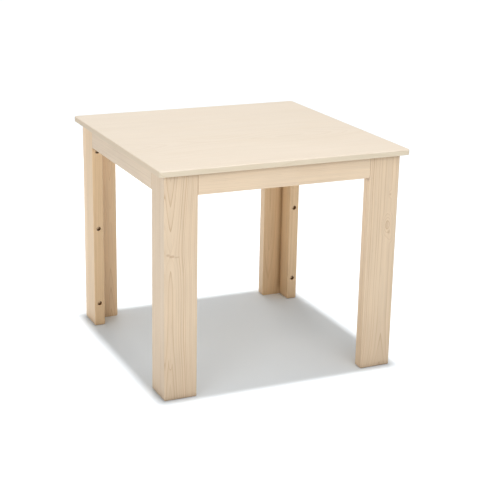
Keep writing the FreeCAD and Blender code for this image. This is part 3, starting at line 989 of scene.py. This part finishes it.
class Hardware:
    """Every kind of fastener, with its tree, its head and its finish."""

    def __init__(self, box: tuple[Vector, Vector]) -> None:
        """Make the trees, heads and finishes.

        Args:
            box: the whole table's lowest and highest corners.
        """
        beech = BEECH.material("beech_dowels", Lie(X_WAY, Y_WAY, UP), Figure(seed=2.0, contrast=0.3), box)
        self.finishes = {Slot.SCREW: YELLOW_ZINC.material(), Slot.BOLT: BRIGHT_ZINC.material(),
                         Slot.DOWEL: beech}
        self.trees = {Threaded: threaded_growth(), Ring: ring_growth(), Dowel: dowel_growth()}
        self.heads = {kind: kind.head() for kind in (LEG_SCREW, TOP_SCREW, BOLT)}

    def grow(self, kind: Threaded | Ring | Dowel, node: str, spots: list[Spot], seed: int) -> None:
        """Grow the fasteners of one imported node.

        Args:
            kind: what is grown.
            node: the node.
            spots: where the fasteners sit.
            seed: the seed of their spin.
        """
        sizes = {"Seed": seed, "Finish": self.finishes[kind.slot], **kind.sizes()}
        if kind in self.heads:
            sizes["Head"] = self.heads[kind]
        self.trees[type(kind)].grow(kind.prefix + node, node, spots, kind.slot, sizes)

    def put_away(self) -> None:
        """Remove the heads that the trees copied."""
        for head in self.heads.values():
            bpy.data.objects.remove(head)


# ---------------------------------------------------------------------------------------- the sub-assemblies


class Place(Enum):
    """A place round the table."""

    @property
    def label(self) -> str:
        """Its name as the nodes spell it."""
        return self.name.lower()

    @property
    def turn(self) -> int:
        """Its number among its kind."""
        return list(type(self)).index(self)


class Corner(Place):
    """The four corners, each with the signs of its X and Y."""

    FRONT_LEFT = (-1, -1)
    FRONT_RIGHT = (1, -1)
    BACK_RIGHT = (1, 1)
    BACK_LEFT = (-1, 1)

    @property
    def out_x(self) -> Vector:
        """The way out of the table along X."""
        return X_WAY * self.value[0]

    @property
    def out_y(self) -> Vector:
        """The way out of the table along Y."""
        return Y_WAY * self.value[1]


class Side(Place):
    """The four sides, each with its outward direction."""

    FRONT = (0, -1)
    RIGHT = (1, 0)
    BACK = (0, 1)
    LEFT = (-1, 0)

    @property
    def out(self) -> Vector:
        """The way out of the table."""
        return Vector((*self.value, 0.0))

    @property
    def run(self) -> Vector:
        """The way that the side runs, along X or Y."""
        return X_WAY if self.value[0] == 0 else Y_WAY


def measured(node: str) -> tuple[Vector, Vector]:
    """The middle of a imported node's box, and half of its spread."""
    low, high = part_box(node)
    return (low + high) / 2.0, (high - low) / 2.0


@dataclass
class Table:
    """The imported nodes, and how a board among them is dressed."""

    nodes: dict[str, bpy.types.Object]

    def dress(self, node: str, slot: Slot, finish: WoodFinish, lie: Lie, figure: Figure) -> None:
        """Give one packed board its finish.

        Args:
            node: the board's node.
            slot: the record's slot for it, not used.
            finish: the timber.
            lie: how the board lies.
            figure: how it was sawn.
        """
        board = self.nodes[node]
        board.data.materials.clear()
        board.data.materials.append(finish.material(f"{finish.name}_{node}", lie, figure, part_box(node)))
        LOG.info("%s: %s, seed %.1f", node, finish.name, figure.seed)


TOP_FIGURE = Figure(seed=3.1, pith_across=-0.07, ring=0.0075, waver=0.003, contrast=0.30,
                    pith_depth=((0.0, 0.075), (0.35, 0.10), (0.7, 0.085), (1.0, 0.11)))

APRON_FIGURES = {
    Side.FRONT: Figure(11.3, -0.05, ((0.0, 0.03), (1.0, 0.04)), contrast=0.42, ring=0.0030, shade=1.06,
                       warmth=-0.008),
    Side.RIGHT: Figure(17.9, 0.02, ((0.0, 0.05), (0.6, 0.035), (1.0, 0.045)), contrast=0.45),
    Side.BACK: Figure(23.2, 0.01, ((0.0, 0.035), (0.45, 0.055), (1.0, 0.03)), contrast=0.5),
    Side.LEFT: Figure(29.6, 0.04, ((0.0, 0.04), (1.0, 0.03)), contrast=0.42, ring=0.0031),
}

FACE_FIGURES = {
    Corner.FRONT_LEFT: Figure(
        seed=5.2, pith_across=-0.022, ring=0.0036, waver=0.0005, contrast=0.98, phase=0.45, foot=0.22,
        pith_depth=((0.0, 0.0212), (0.165, 0.0246), (0.24, 0.0264), (0.573, 0.0283), (0.665, 0.0311),
                    (0.785, 0.0285), (0.865, 0.0260), (1.0, 0.0215)),
        swirls=(Swirl(-0.020, 0.307, 0.018, 0.030, 0.0018), Swirl(-0.022, 0.080, 0.0042, 0.024, 0.0034)),
        knots=(Knot(-0.027, 0.3080, 0.007, 0.0045, 0.36), Knot(-0.019, 0.3045, 0.010, 0.0045, 0.42),
               Knot(-0.009, 0.3022, 0.010, 0.0030, 0.28)),
    ),
    Corner.FRONT_RIGHT: Figure(
        seed=8.7, pith_across=0.011, ring=0.0048, waver=0.0006, contrast=1.10, phase=0.4, foot=0.20,
        # painted light: this board's sides are painted lighter, standing in for light from the left on its
        # inner side
        warmth=0.008, flank=1.17,
        pith_depth=((0.0, 0.0280), (0.126, 0.0337), (0.35, 0.0352), (1.0, 0.0365)),
        swirls=(Swirl(0.014, 0.318, 0.021, 0.032, -0.0150), Swirl(0.023, 0.292, 0.013, 0.018, -0.0080),
                Swirl(0.016, 0.384, 0.008, 0.012, 0.0035)),
        knots=(Knot(0.016, 0.384, 0.0040, 0.0040, 0.30), Knot(0.012, 0.318, 0.0045, 0.013, 0.26),
               Knot(0.017, 0.302, 0.0055, 0.009, 0.24)),
    ),
    # painted light: the back legs' warmth and higher shade stand in for the warm bounce light and the lifted
    # shade under the top
    Corner.BACK_RIGHT: Figure(
        seed=13.4, pith_across=-0.02, pith_depth=((0.0, 0.05), (0.5, 0.036), (1.0, 0.044)), contrast=0.55,
        warmth=0.10, foot=0.12, shade=1.06,
    ),
    Corner.BACK_LEFT: Figure(
        seed=19.8, pith_across=0.02, pith_depth=((0.0, 0.03), (0.4, 0.042), (1.0, 0.03)), contrast=0.60,
        warmth=0.06, foot=0.12, shade=1.17, swirls=(Swirl(0.01, 0.25, 0.02, 0.04, 0.004),),
    ),
}

BATTEN_FIGURES = {
    Corner.FRONT_LEFT: Figure(31.5, 0.05, ((0.0, 0.03), (1.0, 0.036)), ring=0.003, foot=0.20, warmth=0.03,
                              shade=0.95),
    Corner.FRONT_RIGHT: Figure(37.1, -0.045, ((0.0, 0.04), (1.0, 0.03)), foot=0.20),
    # painted light: the back battens' warmth stands in for the warm bounce light under the top
    Corner.BACK_RIGHT: Figure(41.7, 0.04, ((0.0, 0.036), (1.0, 0.03)), contrast=0.55, warmth=0.10, foot=0.12),
    Corner.BACK_LEFT: Figure(47.3, -0.05, ((0.0, 0.03), (1.0, 0.04)), contrast=0.45, warmth=0.10, foot=0.12),
}


@dataclass
class Apron:
    """One rail under the top, with its dowels and the screws that hold the top."""

    side: Side

    def build(self, table: Table, hardware: Hardware) -> None:
        """Dress the rail, and grow two dowels at each end and two screws up into the top.

        Args:
            table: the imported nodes.
            hardware: the fasteners.
        """
        side, run, seed = self.side, self.side.run, 40 + self.side.turn
        table.dress(f"apron_{side.label}", Slot.FRAME, PINE, Lie(UP, -side.out, run), APRON_FIGURES[side])

        node = f"apron_dowels_{side.label}"
        middle, half = measured(node)
        drop = half.z - DOWEL.radius
        spots = [Spot(middle + run * (way * run.dot(half)) + UP * (level * drop), run * -way)
                 for way in (-1.0, 1.0) for level in (-1.0, 1.0)]
        hardware.grow(DOWEL, node, spots, seed)

        node = f"apron_screws_{side.label}"
        middle, half = measured(node)
        seat = middle - UP * (half.z - TOP_SCREW.head_height)
        reach = run.dot(half) - TOP_SCREW.head_radius
        hardware.grow(TOP_SCREW, node, [Spot(seat + run * (way * reach), UP) for way in (-1.0, 1.0)], seed)


@dataclass
class Leg:
    """One leg: a wide face board, a batten behind it, and the three screws that join them."""

    corner: Corner

    def build(self, table: Table, hardware: Hardware) -> None:
        """Dress the two boards and grow the screws.

        Args:
            table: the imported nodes.
            hardware: the fasteners.
        """
        corner, label, way = self.corner, self.corner.label, self.corner.out_y
        table.dress(f"leg_face_board_{label}", Slot.FRAME, PINE, Lie(X_WAY, -way, UP), FACE_FIGURES[corner])
        table.dress(f"leg_side_batten_{label}", Slot.FRAME, PINE, Lie(Y_WAY, -corner.out_x, UP),
                    BATTEN_FIGURES[corner])
        node = f"leg_screws_{label}"
        middle, half = measured(node)
        seat = middle - way * (half.y - LEG_SCREW.head_height)
        rise = half.z - LEG_SCREW.head_radius
        spots = [Spot(seat + UP * (level * rise), way) for level in (-1.0, 0.0, 1.0)]
        hardware.grow(LEG_SCREW, node, spots, 60 + corner.turn)


@dataclass
class CornerFixing:
    """The block inside one corner, with its bolts, washers and inserts, and the screw into the top."""

    corner: Corner
    bolt_offset: float = 0.018

    def build(self, table: Table, hardware: Hardware) -> None:
        """Dress the block and grow its fasteners.

        Args:
            table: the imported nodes.
            hardware: the fasteners.
        """
        corner, label, seed = self.corner, self.corner.label, 70 + self.corner.turn
        figure = Figure(float(seed), 0.03, ((0.0, 0.06), (1.0, 0.055)), ring=0.0026, contrast=0.6)
        table.dress(f"corner_block_{label}", Slot.BLOCK, BEECH, Lie(X_WAY, -corner.out_y, UP), figure)
        middle, half = measured(f"corner_block_{label}")
        bolts, spread = measured(f"corner_bolts_{label}")
        rise = spread.z - BOLT.head_radius
        heads, inserts = [], []
        for level, way, beside in ((-1.0, corner.out_x, corner.out_y), (1.0, corner.out_y, corner.out_x)):
            depth = abs(way.dot(half))
            seat = middle - way * depth + beside * (abs(beside.dot(half)) - self.bolt_offset)
            seat.z = bolts.z + level * rise
            heads.append(Spot(seat - way * WASHER.height, way))
            inserts.append(Spot(seat + way * (2.0 * depth), way))
        hardware.grow(BOLT, f"corner_bolts_{label}", heads, seed)
        hardware.grow(WASHER, f"corner_washers_{label}", heads, seed)
        hardware.grow(INSERT, f"threaded_inserts_{label}", inserts, seed)
        node = f"block_screw_{label}"
        middle, half = measured(node)
        hardware.grow(TOP_SCREW, node, [Spot(middle - UP * (half.z - TOP_SCREW.head_height), UP)], seed)


# ------------------------------------------------------------------------------------------------ the studio


@dataclass(frozen=True)
class Softbox:
    """A square soft light, with the radiance of its face."""

    name: str
    at: Vector
    aim: Vector
    side: float
    radiance: float
    mirrored: bool = True

    def hang(self) -> None:
        """Hang the light, unseen by the camera."""
        light = bpy.data.lights.new(self.name, "AREA")
        light.shape, light.size = "SQUARE", self.side
        light.energy = math.pi * self.side ** 2 * self.radiance
        lamp = add_object(self.name, light)
        lamp.location = self.at
        lamp.rotation_euler = (self.at - self.aim).to_track_quat("Z", "Y").to_euler()
        lamp.visible_camera = False
        lamp.visible_glossy = self.mirrored


@dataclass
class Studio:
    """A white floor, a sky that looks white, soft lights round the table, and a sun straight above."""

    floor_reach: float = 20.0
    floor_shade: Colour = (0.80, 0.845, 0.885)
    sky: float = 0.49
    sun: float = 2.46
    sun_spread: float = 3.6
    softboxes: tuple[Softbox, ...] = (
        Softbox("overhead", Vector((0.0, -0.2, 1.3)), Vector((0.0, -0.2, 0.0)), 1.4, 0.22),
        Softbox("front", Vector((0.1, -1.05, 1.28)), Vector((0.0, 0.0, 0.25)), 0.8, 2.2),
        Softbox("left", Vector((-1.5, -1.3, 0.75)), Vector((0.0, 0.0, 0.25)), 0.8, 3.2),
        Softbox("back", Vector((0.3, 1.6, 0.8)), Vector((0.0, 0.0, 0.0)), 0.8, 4.4, False),
    )

    def build(self) -> None:
        """Lay the floor and hang the lights."""
        bpy.context.scene.view_settings.view_transform = "Standard"
        world = bpy.data.worlds.new("studio")
        world.use_nodes = True
        graph = Graph(world.node_tree)
        seen = graph.value("ShaderNodeLightPath", output="Is Camera Ray")
        graph.shade("Background", {"Color": (1.0, 1.0, 1.0), "Strength": seen * (1.0 - self.sky) + self.sky})
        bpy.context.scene.world = world
        self.lay_floor()
        for softbox in self.softboxes:
            softbox.hang()
        light = bpy.data.lights.new("sun", "SUN")
        light.energy, light.angle = self.sun, math.radians(self.sun_spread)
        add_object("sun", light)

    def lay_floor(self) -> None:
        """Lay a plain pale floor."""
        reach = self.floor_reach
        mesh = bpy.data.meshes.new("floor")
        corners = [(-reach, -reach, 0.0), (reach, -reach, 0.0), (reach, reach, 0.0), (-reach, reach, 0.0)]
        mesh.from_pydata(corners, [], [(0, 1, 2, 3)])
        material, graph = new_material("floor_paper")
        here = graph.value("ShaderNodeTexCoord", output="Object")
        cloud = graph.noise(graph.vector("MULTIPLY", here, (3.0, 3.0, 3.0)))
        paper = graph.mix(cloud, self.floor_shade, tuple(0.99 * part for part in self.floor_shade))
        graph.shade("Principled BSDF", {"Base Color": paper, "Roughness": 0.9, "Specular IOR Level": 0.0})
        mesh.materials.append(material)
        add_object("floor", mesh)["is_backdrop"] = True


@dataclass
class Viewpoint:
    """The camera: where it stands about the point that it looks at."""

    azimuth: float = -24.462
    elevation: float = 17.380
    roll: float = 1.067
    distance: float = 2.7651
    aim: Vector = Vector((0.0185, 0.0, 0.2332))
    lens: float = 93.35
    sensor: float = 36.0

    def build(self) -> None:
        """Make the camera, and make the scene look through it."""
        a, e = math.radians(self.azimuth), math.radians(self.elevation)
        back = Vector((math.sin(a) * math.cos(e), -math.cos(a) * math.cos(e), math.sin(e)))
        data = bpy.data.cameras.new("camera")
        data.lens, data.sensor_width = self.lens, self.sensor
        camera = add_object("camera", data)
        turn = back.to_track_quat("Z", "Y").to_matrix() @ Matrix.Rotation(math.radians(self.roll), 3, "Z")
        camera.rotation_euler = turn.to_euler()
        camera.location = self.aim + back * self.distance
        bpy.context.scene.camera = camera


def main() -> None:
    """Build the studio and the table."""
    logging.basicConfig(level=logging.INFO, format="%(name)s: %(message)s")
    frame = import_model()
    packed_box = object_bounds()
    Viewpoint().build()
    Studio().build()

    table = Table(frame["nodes"])
    hardware = Hardware(packed_box)
    table.dress("table_top", Slot.TOP, PINE_TOP, Lie(Y_WAY, -UP, X_WAY), TOP_FIGURE)
    for side in Side:
        Apron(side).build(table, hardware)
    for corner in Corner:
        Leg(corner).build(table, hardware)
        CornerFixing(corner).build(table, hardware)
    hardware.put_away()


if __name__ == "__main__":
    main()
